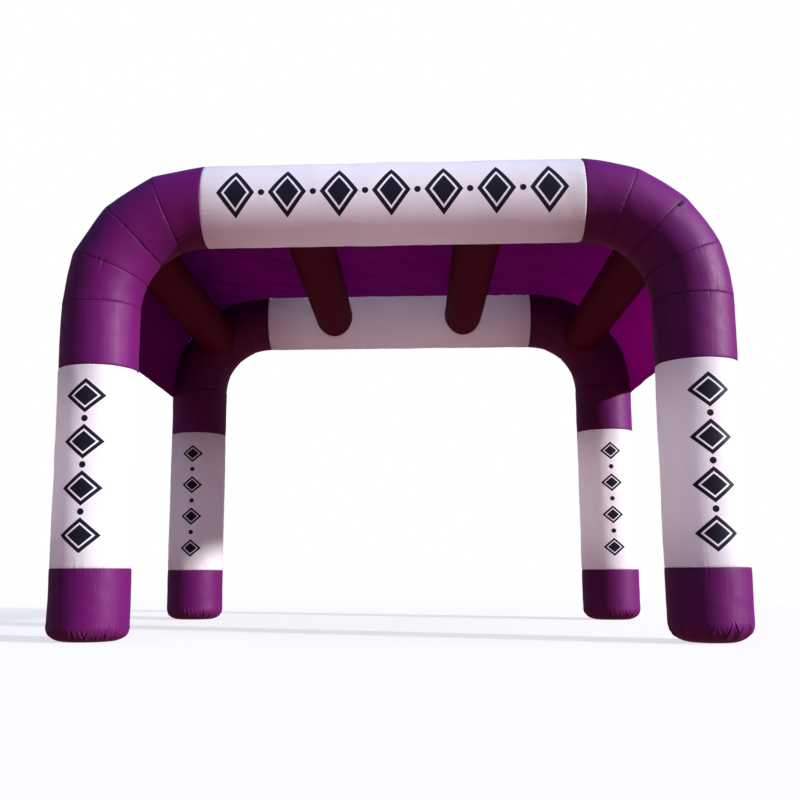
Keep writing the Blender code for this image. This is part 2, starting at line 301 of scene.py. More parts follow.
def tube_mesh(name, points, along, around, seams=None):
    """Closed mesh from rings of points. along and around give the cloth's own measure in metres.

    seams are the places of the two seams along the tube, its ends unless given.
    """
    rows, sides = points.shape[:2]
    spots = [points.reshape(-1, 3), points[0].mean(axis=0)[None], points[-1].mean(axis=0)[None]]
    row = np.arange(rows - 1)[:, None]
    side = np.arange(sides)[None, :]
    after = (side + 1) % sides
    quads = np.stack(
        (row * sides + side, row * sides + after, (row + 1) * sides + after, (row + 1) * sides + side),
        axis=-1,
    ).reshape(-1, 4)
    ring = np.arange(sides)
    following = (ring + 1) % sides
    first = np.stack((following, ring, np.full(sides, rows * sides)), axis=-1)
    last = np.stack((ring, following, np.full(sides, rows * sides + 1)), axis=-1)
    last[:, :2] += (rows - 1) * sides
    mesh = bpy.data.meshes.new(name)
    faces = quads.tolist() + first.tolist() + last.tolist()
    mesh.from_pydata(np.concatenate(spots).tolist(), [], faces)
    edge = np.concatenate((around, [2 * around[-1] - around[-2]]))
    corner_u = np.stack((edge[:-1], edge[1:], edge[1:], edge[:-1]), axis=-1)
    corner_v = np.stack((along[:-1], along[:-1], along[1:], along[1:]), axis=-1)
    u = np.broadcast_to(corner_u[None], (rows - 1, sides, 4))
    v = np.broadcast_to(corner_v[:, None], (rows - 1, sides, 4))
    measure = np.zeros((len(mesh.loops), 2), np.float32)
    measure[: u.size] = np.stack((u, v), axis=-1).reshape(-1, 2)
    mesh.uv_layers.new(name="cloth").data.foreach_set("uv", measure.ravel())
    upper_seam, lower_seam = (along[0], along[-1]) if seams is None else seams
    distance = np.minimum(np.abs(along - upper_seam), np.abs(along - lower_seam))
    mark_seams(mesh, np.append(np.repeat(distance, sides), (FAR_FROM_SEAM, FAR_FROM_SEAM)))
    mesh.shade_smooth()
    return mesh


def face_out(mesh):
    """Turn a closed mesh's faces outward."""
    spots = np.zeros(len(mesh.vertices) * 3)
    mesh.vertices.foreach_get("co", spots)
    spots = spots.reshape(-1, 3) - spots.reshape(-1, 3).mean(axis=0)
    mesh.calc_loop_triangles()
    corners = np.zeros(len(mesh.loop_triangles) * 3, np.int32)
    mesh.loop_triangles.foreach_get("vertices", corners)
    first, second, third = spots[corners.reshape(-1, 3)].transpose(1, 0, 2)
    if (first * np.cross(second, third)).sum() < 0:
        mesh.flip_normals()


def tone_mesh(mesh, tone):
    """How much lighter or darker than its neighbours the panel's cloth is; on the joining tubes the
    darkening is painted shade.
    """
    layer = mesh.attributes.new("tone", "FLOAT", "POINT")
    layer.data.foreach_set("value", np.full(len(mesh.vertices), tone, np.float32))


def show(node, mesh, material, tone=0.0):
    """Put a finer panel in the place of a CAD node."""
    tone_mesh(mesh, tone)
    mesh.materials.append(material)
    piece = bpy.data.objects.new("cloth_" + node, mesh)
    bpy.context.scene.collection.objects.link(piece)
    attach(piece, "root")
    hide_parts(node)
    return piece


def seam_relief(distance, clock, seam_seed, side_seed, strength=1.0):
    """How a panel is drawn in towards a seam, with the short puckers that run into it."""
    pucker = np.clip(ring_waves(clock, *PUCKERS_ROUND, seam_seed), 0.0, None) ** 1.5
    patchy = np.clip(0.45 + 0.55 * ring_waves(clock, *PATCHES_ROUND, seam_seed + 1), 0.08, 1.6)
    reach = PUCKER_REACH * np.clip(1 + 0.5 * ring_waves(clock, *REACHES_ROUND, side_seed), 0.3, 2.2)
    drawn = -SEAM_DRAW * np.exp(-distance / SEAM_WIDTH)
    return drawn - strength * PUCKER_DEPTH * patchy * pucker * np.exp(-distance / reach)


def wave_relief(points, rows, seed):
    """Slow unevenness of cloth, from rows of height and length."""
    return sum(height * waves(points, length, seed + turn) for turn, (height, length) in enumerate(rows))


def soft_relief(points, seed):
    """Slow unevenness of a blown-up panel, from its first seam's seed."""
    return wave_relief(points, TUBE_WAVES, seed * 7 + 3)


def tube_radius(angle):
    """Radius of the arch tube round the corner, 0 at the beam and a quarter turn at the leg."""
    return BEAM_RADIUS + (LEG_RADIUS - BEAM_RADIUS) * angle / CORNER_ANGLE


def facet_scale(angle, side, outward):
    """The corner's gores are nearly straight from seam to seam, so it is a soft polygon.

    It is softer on the right than on the left, and rounder inside, where outward goes down to -1.
    """
    angle = np.asarray(angle, float)
    number = np.clip(np.floor(angle / GORE_ANGLE), 0, GORES - 1)
    first = number * GORE_ANGLE
    near = np.where(number == 0, 1.0, SEAM_STAND)
    far = np.where(number == GORES - 1, 1.0, SEAM_STAND)
    inverse = np.sin(first + GORE_ANGLE - angle) / near + np.sin(angle - first) / far
    straight = math.sin(GORE_ANGLE) / inverse
    share = np.where(side < 0, FACET_LEFT, FACET_RIGHT)
    share = share * (FACET_OUTSIDE + (1 - FACET_OUTSIDE) * outward)
    return share * straight + (1 - share)


def straight_panel(node, x, y, high, low, seeds, material, tone):
    """An upright panel between two seams."""
    along = row_places(high - low)
    clock = ring_clock(SIDES)
    down, turn = np.meshgrid(along, clock, indexing="ij")
    across = LEG_RADIUS * np.sin(turn)
    spots = np.stack((x + across, y - LEG_RADIUS * np.cos(turn), high - down), axis=-1)
    relief = soft_relief(spots, seeds[0])
    relief += seam_relief(down, turn, seeds[0], seeds[0] + 500)
    relief += seam_relief(high - low - down, turn, seeds[1], seeds[1] + 900)
    wide = LEG_RADIUS + relief
    points = np.stack((x + wide * np.sin(turn), y - wide * np.cos(turn), high - down), axis=-1)
    mesh = tube_mesh(node, points, (high - low) / 2 - along, clock * LEG_RADIUS)
    face_out(mesh)
    return show(node, mesh, material, tone)


def beam_panel(node, y, seeds, material):
    """The beam's white band, lying along X."""
    along = row_places(2 * BAND_END)
    clock = ring_clock(SIDES)
    run, turn = np.meshgrid(along, clock, indexing="ij")
    x = run - BAND_END
    spots = np.stack((x, y - BEAM_RADIUS * np.cos(turn), BEAM_Z + BEAM_RADIUS * np.sin(turn)), axis=-1)
    relief = soft_relief(spots, seeds[0])
    relief += seam_relief(run, turn, seeds[0], seeds[0] + 500)
    relief += seam_relief(2 * BAND_END - run, turn, seeds[1], seeds[1] + 900)
    wide = BEAM_RADIUS + relief
    points = np.stack((x, y - wide * np.cos(turn), BEAM_Z + wide * np.sin(turn)), axis=-1)
    mesh = tube_mesh(node, points, along - BAND_END, clock * BEAM_RADIUS)
    face_out(mesh)
    return show(node, mesh, material)


def gore_panel(node, number, side, y, seeds, material, tone):
    """One gore of a corner, nearly straight between its two seams."""
    mean_length = GORE_ANGLE * BEND_RADIUS
    along = row_places(mean_length)
    clock = ring_clock(SIDES)
    run, turn = np.meshgrid(along, clock, indexing="ij")
    angle = GORE_ANGLE * number + run / BEND_RADIUS
    radius = tube_radius(angle)

    def place(wide):
        reach = (BEND_RADIUS + wide * np.cos(turn)) * facet_scale(angle, side, np.cos(turn))
        x = side * (BEND_X + reach * np.sin(angle))
        z = BEND_Z + reach * np.cos(angle)
        return np.stack((x, y + side * wide * np.sin(turn), z), axis=-1)

    stretch = (BEND_RADIUS + radius * np.cos(turn)) / BEND_RADIUS
    relief = soft_relief(place(radius), seeds[0])
    relief += seam_relief(run * stretch, turn, seeds[0], seeds[0] + 500, GORE_PUCKERS)
    far = (mean_length - run) * stretch
    relief += seam_relief(far, turn, seeds[1], seeds[1] + 900, GORE_PUCKERS)
    mesh = tube_mesh(node, place(radius + relief), along, clock * LEG_RADIUS)
    face_out(mesh)
    return show(node, mesh, material, tone)


def foot_corner(node):
    """Width and height of a foot's rounded lower edge, read from its CAD node."""
    heart = middle(node)
    spots = [vertex.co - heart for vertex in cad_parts[node].data.vertices]
    low = min(spot.z for spot in spots)
    flat = max(spot.xy.length for spot in spots if spot.z < low + FOOT_TOLERANCE)
    upright = min(spot.z for spot in spots if spot.xy.length > LEG_RADIUS - FOOT_TOLERANCE)
    return LEG_RADIUS - flat, upright - low


def gather_relief(turn, above, below, seed, count):
    """Narrow folds that run up from the base seam in uneven pairs, each pair spread like a V."""
    draw = np.random.default_rng(seed)
    relief = np.zeros(turn.shape)
    for number in range(count):
        spread = GATHER_SPREAD if number % 2 else -GATHER_SPREAD
        place = number - spread + draw.uniform(-GATHER_SHIFT, GATHER_SHIFT)
        at = 2 * np.pi * place / count - np.pi
        height = draw.uniform(*GATHER_HEIGHTS)
        depth = GATHER_DEPTH * draw.uniform(*GATHER_DEPTHS)
        width = draw.uniform(*GATHER_WIDTHS)
        lean = spread * draw.uniform(*GATHER_LEANS)
        off = ((turn - at + np.pi) % (2 * np.pi) - np.pi) * LEG_RADIUS - lean * above
        fade = np.clip(1 - above / height, 0.0, 1.0) ** GATHER_FADE * np.exp(-below / GATHER_BELOW)
        relief -= depth * fade * np.exp(-((off / width) ** 2))
        beside = (np.abs(off) - GATHER_RIDGE_AT * width) / width
        relief += GATHER_RIDGE * depth * fade * np.exp(-(beside ** 2))
    return relief


def foot_panel(node, x, y, seeds, gather, material, tone):
    """A foot with its round lower edge, the seam of its base and the gathers over it."""
    corner_width, corner_height = foot_corner(node)
    strength, count, seam_height = gather
    wall_height = BAND_LOW - corner_height
    wall = row_places(wall_height)
    wall = wall[: len(wall) // 2 + 1]
    wall = np.concatenate((wall, np.arange(wall[-1] + FOOT_FIRST_ROW, wall_height, FOOT_ROW)))
    sweep = np.radians(np.linspace(0.0, 90.0, FOOT_CORNER_ROWS))
    flat = np.linspace(1.0, 0.1, FOOT_FLAT_ROWS)[1:] * (LEG_RADIUS - corner_width)
    radius = np.concatenate((
        np.full(len(wall), LEG_RADIUS),
        LEG_RADIUS - corner_width * (1 - np.cos(sweep)),
        flat,
    ))
    height = np.concatenate((BAND_LOW - wall, corner_height * (1 - np.sin(sweep)), np.zeros(len(flat))))
    path = np.concatenate(([0.0], np.cumsum(np.hypot(np.diff(radius), np.diff(height)))))
    falling = len(wall) + FOOT_CORNER_ROWS
    seam_path = np.interp(-seam_height, -height[:falling], path[:falling])
    clock = ring_clock(FOOT_SIDES)
    run, turn = np.meshgrid(path, clock, indexing="ij")
    level = np.broadcast_to(height[:, None], run.shape)
    wide = np.broadcast_to(radius[:, None], run.shape)
    spots = np.stack((x + wide * np.sin(turn), y - wide * np.cos(turn), level), axis=-1)
    relief = soft_relief(spots, seeds[0])
    relief += seam_relief(run, turn, seeds[0], seeds[0] + 500, FOOT_PUCKERS)
    above = np.clip(seam_path - run, 0.0, None)
    below = np.clip(run - seam_path, 0.0, None)
    relief += strength * gather_relief(turn, above, below, seeds[1], count)
    relief -= BASE_SEAM_DRAW * np.exp(-np.abs(run - seam_path) / BASE_SEAM_WIDTH)
    relief *= np.clip(level / FOOT_FLAT_BELOW, 0.0, 1.0)
    wide = wide + relief
    points = np.stack((x + wide * np.sin(turn), y - wide * np.cos(turn), level), axis=-1)
    mesh = tube_mesh(node, points, -path, clock * LEG_RADIUS, (0.0, -seam_path))
    face_out(mesh)
    return show(node, mesh, material, tone)


def mid_end(x, z):
    """How far from the middle a roof tube meets the beams."""
    return ARCH_Y - np.sqrt(BEAM_RADIUS ** 2 - (z - BEAM_Z) ** 2) + 0 * x


def eave_end(x, z):
    """How far from the middle an eave tube meets the corners of the arches."""
    inward = np.abs(x) - BEND_X
    angle = np.arctan2(inward, z - BEND_Z)
    reach = np.hypot(inward, z - BEND_Z)
    outward = np.clip((reach - BEND_RADIUS) / tube_radius(angle), -1.0, 1.0)
    reach = reach / facet_scale(angle, np.sign(x), outward)
    return ARCH_Y - np.sqrt(tube_radius(angle) ** 2 - (reach - BEND_RADIUS) ** 2)


def purlin_panel(node, x, z, end, seed, material, tone):
    """An air tube between the arches, sewn to their round sides.

    It is uneven inwards only, so that the roof sheet lies on it and it never comes through.
    """
    clock = ring_clock(PURLIN_SIDES)
    edge_x = x + PURLIN_RADIUS * np.sin(clock)
    edge_z = z + PURLIN_RADIUS * np.cos(clock)
    half = end(edge_x, edge_z)
    share = row_places(2 * half.min())
    share = share / share[-1] * 2 - 1
    run, turn = np.meshgrid(share, clock, indexing="ij")
    y = run * (half + PURLIN_TUCK)[None]
    from_end = half[None] - np.abs(y)
    spots = np.stack((x + PURLIN_RADIUS * np.sin(turn), y, z + PURLIN_RADIUS * np.cos(turn)), axis=-1)
    relief = np.minimum(soft_relief(spots, seed), 0.0)
    near = np.clip(from_end, 0.0, None)
    relief += np.where(
        y < 0,
        seam_relief(near, turn, seed, seed + 500),
        seam_relief(near, turn, seed + 40, seed + 900),
    )
    wide = PURLIN_RADIUS + relief
    points = np.stack((x + wide * np.sin(turn), y, z + wide * np.cos(turn)), axis=-1)
    mesh = tube_mesh(node, points, share * float(half.mean()), clock * PURLIN_RADIUS)
    face_out(mesh)
    return show(node, mesh, material, tone)


def edge_reach(angle):
    """Where the sheet is sewn to the tube: outside the tube's axis, and inside its arch."""
    clock = blend(CLOCK_AT_BEAM, CLOCK_AT_LEG, angle / CORNER_ANGLE)
    radius = tube_radius(angle) - EDGE_SINK
    return radius * np.cos(clock), radius * np.sin(clock)


OUTER_ARC = BEND_RADIUS + BEAM_RADIUS
CORNER_START = BAND_END
CORNER_END = CORNER_START + OUTER_ARC * CORNER_ANGLE
HEM_AT = CORNER_END + BEND_Z - HEM_Z


def sheet_sags(distance):
    """Drop to the rest line and extra sag between supports, along half of the sheet."""
    eave_drop = edge_reach(EAVE_ANGLE)[0] - (PURLIN_RADIUS + REST_GAP)
    purlin_drop = BEAM_Z + edge_reach(0.0)[0] - (MID_Z + PURLIN_RADIUS + REST_GAP)
    rows = (
        # distance, drop, bay
        (0.0, purlin_drop, RIDGE_BAY),
        (MID_X, purlin_drop, 0.0),
        (CORNER_START + OUTER_ARC * ROOF_BAY_ANGLE, (purlin_drop + eave_drop) / 2, ROOF_BAY),
        (CORNER_START + OUTER_ARC * EAVE_ANGLE, eave_drop, 0.0),
        (CORNER_START + OUTER_ARC * SIDE_ANGLE, SIDE_DROP, SIDE_BAY),
        (HEM_AT, HEM_DROP, 0.0),
    )
    drop = np.full(distance.shape, HEM_DROP)
    bay = np.zeros(distance.shape)
    for (near, drop_a, bay_a), (far, drop_b, bay_b) in zip(rows, rows[1:]):
        here = (distance >= near) & (distance < far)
        share = (distance - near) / (far - near)
        drop = np.where(here, blend(drop_a, drop_b, share), drop)
        bay = np.where(here, blend(bay_a, bay_b, share), bay)
    return drop, bay


# Creases of the roof sheet, each a soft ridge or trough from one place to another
CREASES = (
    # from distance, from across, to distance, to across, half width, height
    (-1.62, 0.62, -0.98, 0.80, 0.045, 0.010),
    (-2.05, 0.40, -1.15, 0.58, 0.060, -0.012),
    (-1.90, 0.84, -1.20, 0.90, 0.035, 0.008),
    (-1.70, -0.10, -1.02, 0.10, 0.070, 0.010),
    (-0.62, 0.74, 0.55, 0.82, 0.045, -0.008),
    (-0.50, 0.30, 0.62, 0.42, 0.070, 0.009),
    (-0.60, -0.45, 0.50, -0.38, 0.060, 0.008),
    (1.02, 0.70, 1.95, 0.55, 0.050, 0.011),
    (1.00, 0.45, 2.10, 0.28, 0.060, -0.010),
    (1.10, 0.88, 2.00, 0.80, 0.035, -0.008),
    (1.05, -0.20, 1.90, -0.42, 0.070, 0.009),
    (2.95, -0.83, 3.74, -0.90, 0.028, 0.012),
    (2.90, -0.55, 3.60, -0.30, 0.070, -0.008),
    (3.10, 0.72, 3.72, 0.86, 0.050, 0.010),
    (0.20, 0.42, 0.62, 0.74, 0.024, 0.009),
    (0.42, 0.40, 0.74, 0.60, 0.022, -0.008),
    (0.10, 0.58, 0.46, 0.90, 0.026, 0.007),
    (0.60, 0.92, 0.34, 0.66, 0.022, 0.007),
    (-0.20, 0.88, -0.52, 0.60, 0.028, 0.008),
    (-1.30, 0.86, -1.02, 0.50, 0.026, 0.009),
    (-1.75, 0.66, -1.45, 0.92, 0.030, -0.008),
    (1.15, 0.88, 1.48, 0.58, 0.026, 0.009),
    (1.60, 0.90, 1.86, 0.66, 0.026, -0.008),
    (2.92, -0.20, 3.30, -0.62, 0.030, 0.010),
    (3.20, -0.40, 3.74, -0.55, 0.028, -0.009),
    (3.00, 0.20, 3.50, 0.44, 0.034, 0.009),
    (-3.00, -0.80, -3.70, -0.92, 0.045, 0.009),
    (-2.95, 0.35, -3.60, 0.62, 0.060, -0.009),
)


def crease_relief(distance, across, half_width):
    """Height of the listed creases, with ends that fade out."""
    height = np.zeros(distance.shape)
    side = across * half_width
    for start_d, start_a, end_d, end_a, width, rise in CREASES:
        start = np.array((start_d, start_a * ARCH_Y))
        way = np.array((end_d, end_a * ARCH_Y)) - start
        length = np.linalg.norm(way)
        way /= length
        along = (distance - start[0]) * way[0] + (side - start[1]) * way[1]
        off = -(distance - start[0]) * way[1] + (side - start[1]) * way[0]
        off = off + CREASE_WANDER * np.sin(along * CREASE_TURNS + start_d)
        before = np.clip(-along, 0, None)
        beyond = np.clip(along - length, 0, None)
        fade = np.exp(-before / CREASE_FADE) * np.exp(-beyond / CREASE_FADE)
        fade *= np.exp(-(before ** 2 + beyond ** 2) / CREASE_FADE_SQUARE)
        height += rise * fade * np.exp(-((off / width) ** 2))
    return height


def edge_gathers(distance, off_edge, seed):
    """Small uneven ripples that run into a sewn edge of the sheet."""
    draw = np.random.default_rng(seed)
    ripple = np.zeros(distance.shape)
    for length in draw.uniform(*RIPPLE_LENGTHS, RIPPLE_COUNT):
        ripple += np.sin(distance * 2 * np.pi / length + draw.uniform(0, 2 * np.pi))
    patchy = np.clip(0.5 + 0.7 * np.sin(distance * 1.7 + draw.uniform(0, 6)), 0.15, 1.0)
    reach = RIPPLE_REACH * (1.2 + 0.6 * np.sin(distance * 2.9 + draw.uniform(0, 6)))
    fade = np.exp(-off_edge / reach)
    return RIPPLE_HEIGHT * patchy * ripple * fade * (1 - np.exp(-off_edge / RIPPLE_START))


def sheet_points():
    """Underside of the sheet as a grid from the left hem to the right hem, front to rear."""
    distance = np.linspace(-HEM_AT, HEM_AT, SHEET_COLUMNS + 1)
    rows = np.sin(np.linspace(-1.0, 1.0, SHEET_ROWS + 1) * ROW_BUNCHING) / math.sin(ROW_BUNCHING)
    run, across = np.meshgrid(distance, rows, indexing="ij")
    here = np.abs(run)
    side = np.where(run < 0, -1.0, 1.0)
    angle = np.clip((here - CORNER_START) / OUTER_ARC, 0.0, CORNER_ANGLE)
    drop, bay = sheet_sags(here)
    sag = drop * (1 - across ** 4) + bay * (1 - across ** 2) ** 2
    outward, inward = edge_reach(angle)
    half = ARCH_Y - inward
    scale = 1 + (facet_scale(angle, side, outward / tube_radius(angle)) - 1) * across ** 4
    reach = (BEND_RADIUS + outward - sag) * scale
    x = np.where(here < CORNER_START, here, BEND_X + reach * np.sin(angle))
    z = BEND_Z + reach * np.cos(angle) - np.clip(here - CORNER_END, 0.0, None)
    base = np.stack((side * x, half * across, z), axis=-1)
    slope_run = np.gradient(base, axis=0)
    slope_across = np.gradient(base, axis=1)
    normal = np.cross(slope_run, slope_across)
    normal /= np.linalg.norm(normal, axis=-1, keepdims=True)
    off_edge = half * (1 - np.abs(across))
    held = np.minimum(1.0, off_edge / EDGE_HELD)
    relief = crease_relief(run, across, half) * held
    front, rear = edge_gathers(run, off_edge, 71), edge_gathers(run, off_edge, 72)
    relief += np.where(across < 0, front, rear)
    relief += held * wave_relief(base, SHEET_WAVES, 81)
    near_tube = tube_nearness(here)
    relief = np.where(relief < 0, relief * (1 - near_tube), relief)
    return run, across, base + normal * relief[..., None], normal, half


def tube_nearness(distance):
    """1 where the sheet lies on a tube, fading to 0 beside it."""
    eave_at = CORNER_START + OUTER_ARC * EAVE_ANGLE
    nearness = np.exp(-(((distance - MID_X) / MID_REST_WIDTH) ** 2))
    return nearness + np.exp(-(((distance - eave_at) / EAVE_REST_WIDTH) ** 2))


def sheet_mesh(name, lower, upper, run, across, half):
    """Closed mesh of a thin sheet from its two sides."""
    columns, rows = lower.shape[:2]
    count = columns * rows
    index = np.arange(count).reshape(columns, rows)
    a, b, c, d = index[:-1, :-1], index[1:, :-1], index[1:, 1:], index[:-1, 1:]
    under = np.stack((a, d, c, b), axis=-1).reshape(-1, 4)
    over = np.stack((a, b, c, d), axis=-1).reshape(-1, 4) + count
    rim = np.concatenate((index[:-1, 0], index[-1, :-1], index[:0:-1, -1], index[0, :0:-1]))
    after = np.roll(rim, -1)
    edge = np.stack((rim, after, after + count, rim + count), axis=-1)
    mesh = bpy.data.meshes.new(name)
    spots = np.concatenate((lower.reshape(-1, 3), upper.reshape(-1, 3)))
    faces = np.concatenate((under, over, edge))
    mesh.from_pydata(spots.tolist(), [], faces.tolist())
    flat = np.stack((run, across * half), axis=-1).reshape(-1, 2)
    both = np.concatenate((flat, flat)).astype(np.float32)
    mesh.uv_layers.new(name="cloth").data.foreach_set("uv", both[faces.ravel()].ravel())
    mesh.shade_smooth()
    return mesh


def add_canopy(material):
    """The roof sheet, doubled along its hems."""
    run, across, lower, normal, half = sheet_points()
    from_hem = HEM_AT - np.abs(run)
    hem = HEM_EXTRA * blend(1.0, 0.0, (from_hem - HEM_WIDTH) / HEM_STEP)
    groove = HEM_GROOVE * np.exp(-(((from_hem - HEM_WIDTH) / HEM_GROOVE_WIDTH) ** 2))
    upper = lower + normal * (SHEET_THICKNESS + hem - groove)[..., None]
    mesh = sheet_mesh("canopy", lower, upper, run, across, half)
    from_stitch = (from_hem - HEM_WIDTH + STITCH_MIDDLE).ravel()
    mark_seams(mesh, np.append(from_stitch, from_stitch))
    piece = show("canopy", mesh, material)


def add_tab(material):
    """The half-round webbing tab out of a corner seam, leaning towards the leg."""
    node = "guy_tab"
    radius = float(tube_radius(EAVE_ANGLE)) - SEAM_DRAW
    stand = float(facet_scale(EAVE_ANGLE, 1.0, math.cos(TAB_CLOCK)))
    outside = Vector((math.sin(EAVE_ANGLE), 0.0, math.cos(EAVE_ANGLE)))
    axis = Vector((BEND_X, -ARCH_Y, BEND_Z)) + outside * BEND_RADIUS * stand
    out = (outside * math.cos(TAB_CLOCK) * stand - Vector((0.0, math.sin(TAB_CLOCK), 0.0))).normalized()
    along = Vector((math.cos(EAVE_ANGLE), 0.0, -math.sin(EAVE_ANGLE)))
    across = along.cross(out).normalized()
    lean = out * math.cos(TAB_LEAN) + along * math.sin(TAB_LEAN)
    share, rise = np.meshgrid(np.linspace(-1.0, 1.0, 29), np.linspace(0.0, 1.0, 13), indexing="ij")
    round_end = np.sqrt(np.clip(1 - rise ** TAB_ROUNDING, 0.0, 1.0))
    flat_x = share * (TAB_HALF_WIDTH * round_end + TAB_HALF_THICKNESS)
    flat_y = TAB_REACH * rise - TAB_ROOT
    rim = np.maximum(np.abs(share), rise)
    border = np.where(rim < TAB_BORDER_FROM, 1.0, TAB_BORDER_SHARE)
    bulge = TAB_HALF_THICKNESS * border * np.sqrt(np.clip(1 - rim ** 14, 0.05, 1.0))
    droop = TAB_RIPPLE * np.sin(share * 5.0) * rise - TAB_DROOP * rise ** 2
    foot = np.array(axis + out * (radius + TAB_HALF_THICKNESS))
    middle_sheet = foot + flat_x[..., None] * np.array(across) + flat_y[..., None] * np.array(lean)
    normal = np.array(across.cross(lean))
    lower = middle_sheet + (droop - bulge)[..., None] * normal
    upper = middle_sheet + (droop + bulge)[..., None] * normal
    mesh = sheet_mesh(node, lower, upper, flat_x, rise, TAB_REACH)
    face_out(mesh)
    show(node, mesh, material)


def add_node(tree, kind, inputs=None, **settings):
    """Add a shader node; inputs are values or other nodes' sockets."""
    made = tree.nodes.new(kind)
    for name, value in settings.items():
        setattr(made, name, value)
    for socket, value in (inputs or {}).items():
        if isinstance(value, bpy.types.NodeSocket):
            tree.links.new(value, made.inputs[socket])
        else:
            made.inputs[socket].default_value = value
    return made


def calc(tree, operation, first, second=0.0):
    """One step of arithmetic in a material."""
    return add_node(tree, "ShaderNodeMath", {0: first, 1: second}, operation=operation).outputs[0]


def mix_colour(tree, share, first, second):
    """Mix two colours."""
    made = add_node(tree, "ShaderNodeMix", data_type="RGBA")
    rows = (("Factor", "VALUE", share), ("A", "RGBA", first), ("B", "RGBA", second))
    for name, kind, value in rows:
        socket = next(s for s in made.inputs if s.name == name and s.type == kind)
        if isinstance(value, bpy.types.NodeSocket):
            tree.links.new(value, socket)
        else:
            socket.default_value = value if kind == "VALUE" else (*value, 1.0)
    return next(s for s in made.outputs if s.type == "RGBA")


def noise(tree, place, scale, detail, distortion=0.0):
    """Noise between 0 and 1."""
    inputs = {"Vector": place, "Scale": scale, "Detail": detail, "Distortion": distortion}
    return add_node(tree, "ShaderNodeTexNoise", inputs).outputs["Fac"]


def bump(tree, strength, depth, height, under=None):
    """Relief of a material, over another relief if one is given."""
    inputs = {"Strength": strength, "Distance": depth, "Height": height}
    if under is not None:
        inputs["Normal"] = under
    return add_node(tree, "ShaderNodeBump", inputs).outputs[0]


def weave(tree, measure, pitch):
    """Height of a plain weave, from the cloth's own measure in metres."""
    parts = add_node(tree, "ShaderNodeSeparateXYZ", {0: measure})
    turn = 2 * math.pi / pitch
    over = calc(tree, "SINE", calc(tree, "MULTIPLY", parts.outputs[0], turn))
    under = calc(tree, "SINE", calc(tree, "MULTIPLY", parts.outputs[1], turn))
    return calc(tree, "MULTIPLY", over, under)


def stitches(tree, measure):
    """Mask of the two rows of stitches beside a seam."""
    parts = add_node(tree, "ShaderNodeSeparateXYZ", {0: measure})
    seam = add_node(tree, "ShaderNodeAttribute", attribute_name="seam").outputs["Fac"]
    aside = calc(tree, "ABSOLUTE", calc(tree, "SUBTRACT", seam, STITCH_MIDDLE))
    off = calc(tree, "ABSOLUTE", calc(tree, "SUBTRACT", aside, STITCH_ROWS_APART / 2))
    line = calc(tree, "LESS_THAN", off, STITCH_HALF_WIDTH)
    run = calc(tree, "DIVIDE", calc(tree, "ADD", parts.outputs[0], parts.outputs[1]), STITCH_PITCH)
    dash = calc(tree, "LESS_THAN", calc(tree, "FRACT", run), STITCH_SHARE)
    return calc(tree, "MULTIPLY", line, dash)


def cloth_material(
    name, light, dark, roughness, crumple=0.25, gloss=0.18, print_size=None, glow=None
):
    """Coated cloth: fine weave, stitches, slow changes of tone, crumples and specks of darker brown near
    the ground.

    print_size gives lozenges its sizes. glow holds the colours of the light that comes through,
    for thin and thick places, and its share.
    """
    material = bpy.data.materials.new(name)
    material.use_nodes = True
    tree = material.node_tree
    shader = tree.nodes["Principled BSDF"]
    measure = add_node(tree, "ShaderNodeUVMap", uv_map="cloth").outputs[0]
    place = add_node(tree, "ShaderNodeTexCoord").outputs["Object"]
    tone = add_node(tree, "ShaderNodeAttribute", attribute_name="tone").outputs["Fac"]
    slow = noise(tree, place, 1.7, 3.0)
    fine = noise(tree, place, 26.0, 5.0)
    share = calc(tree, "ADD", calc(tree, "MULTIPLY", slow, 0.8), calc(tree, "MULTIPLY", fine, 0.25))
    share = calc(tree, "ADD", share, tone)
    colour = mix_colour(tree, share, light, dark)
    printed = 0.0
    if print_size is not None:
        printed = lozenges(tree, measure, *print_size)
        colour = mix_colour(tree, printed, colour, INK)
    sewn = stitches(tree, measure)
    thread = tuple(THREAD_SHADE * value for value in dark)
    colour = mix_colour(tree, sewn, colour, thread)
    # speckled brown darkening towards the ground, fading out above LOW_BROWN_HEIGHT
    height = add_node(tree, "ShaderNodeSeparateXYZ", {0: place}).outputs[2]
    low = calc(tree, "SUBTRACT", 1.0, calc(tree, "DIVIDE", height, LOW_BROWN_HEIGHT))
    specks = calc(tree, "MULTIPLY", fine, LOW_BROWN_SHARE)
    low_brown = calc(tree, "MULTIPLY", calc(tree, "MAXIMUM", low, 0.0), specks)
    colour = mix_colour(tree, low_brown, colour, LOW_BROWN)
    tree.links.new(colour, shader.inputs["Base Color"])
    rough = calc(tree, "ADD", calc(tree, "MULTIPLY", fine, 0.16), roughness - 0.08)
    tree.links.new(rough, shader.inputs["Roughness"])
    shader.inputs["Specular IOR Level"].default_value = gloss
    drawn = add_node(tree, "ShaderNodeVectorMath", {0: measure, 1: STREAKS}, operation="MULTIPLY")
    relief = bump(tree, crumple, CRUMPLE_DEPTH, noise(tree, place, 11.0, 4.0, 0.6))
    relief = bump(tree, 0.35, STREAK_DEPTH, noise(tree, drawn.outputs[0], 1.0, 3.0), relief)
    relief = bump(tree, 0.20, WEAVE_DEPTH, weave(tree, measure, WEAVE_PITCH), relief)
    relief = bump(tree, 0.7, STITCH_DEPTH, sewn, relief)
    tree.links.new(relief, shader.inputs["Normal"])
    if glow is not None:
        thin, thick, share_through = glow
        through = mix_colour(tree, share, thin, thick)
        lit = add_node(tree, "ShaderNodeBsdfTranslucent", {"Color": through, "Normal": relief})
        bare = calc(tree, "MULTIPLY", calc(tree, "SUBTRACT", 1.0, printed), share_through)
        both = {0: bare, 1: shader.outputs[0], 2: lit.outputs[0]}
        surface = add_node(tree, "ShaderNodeMixShader", both).outputs[0]
        tree.links.new(surface, tree.nodes["Material Output"].inputs["Surface"])
    return material


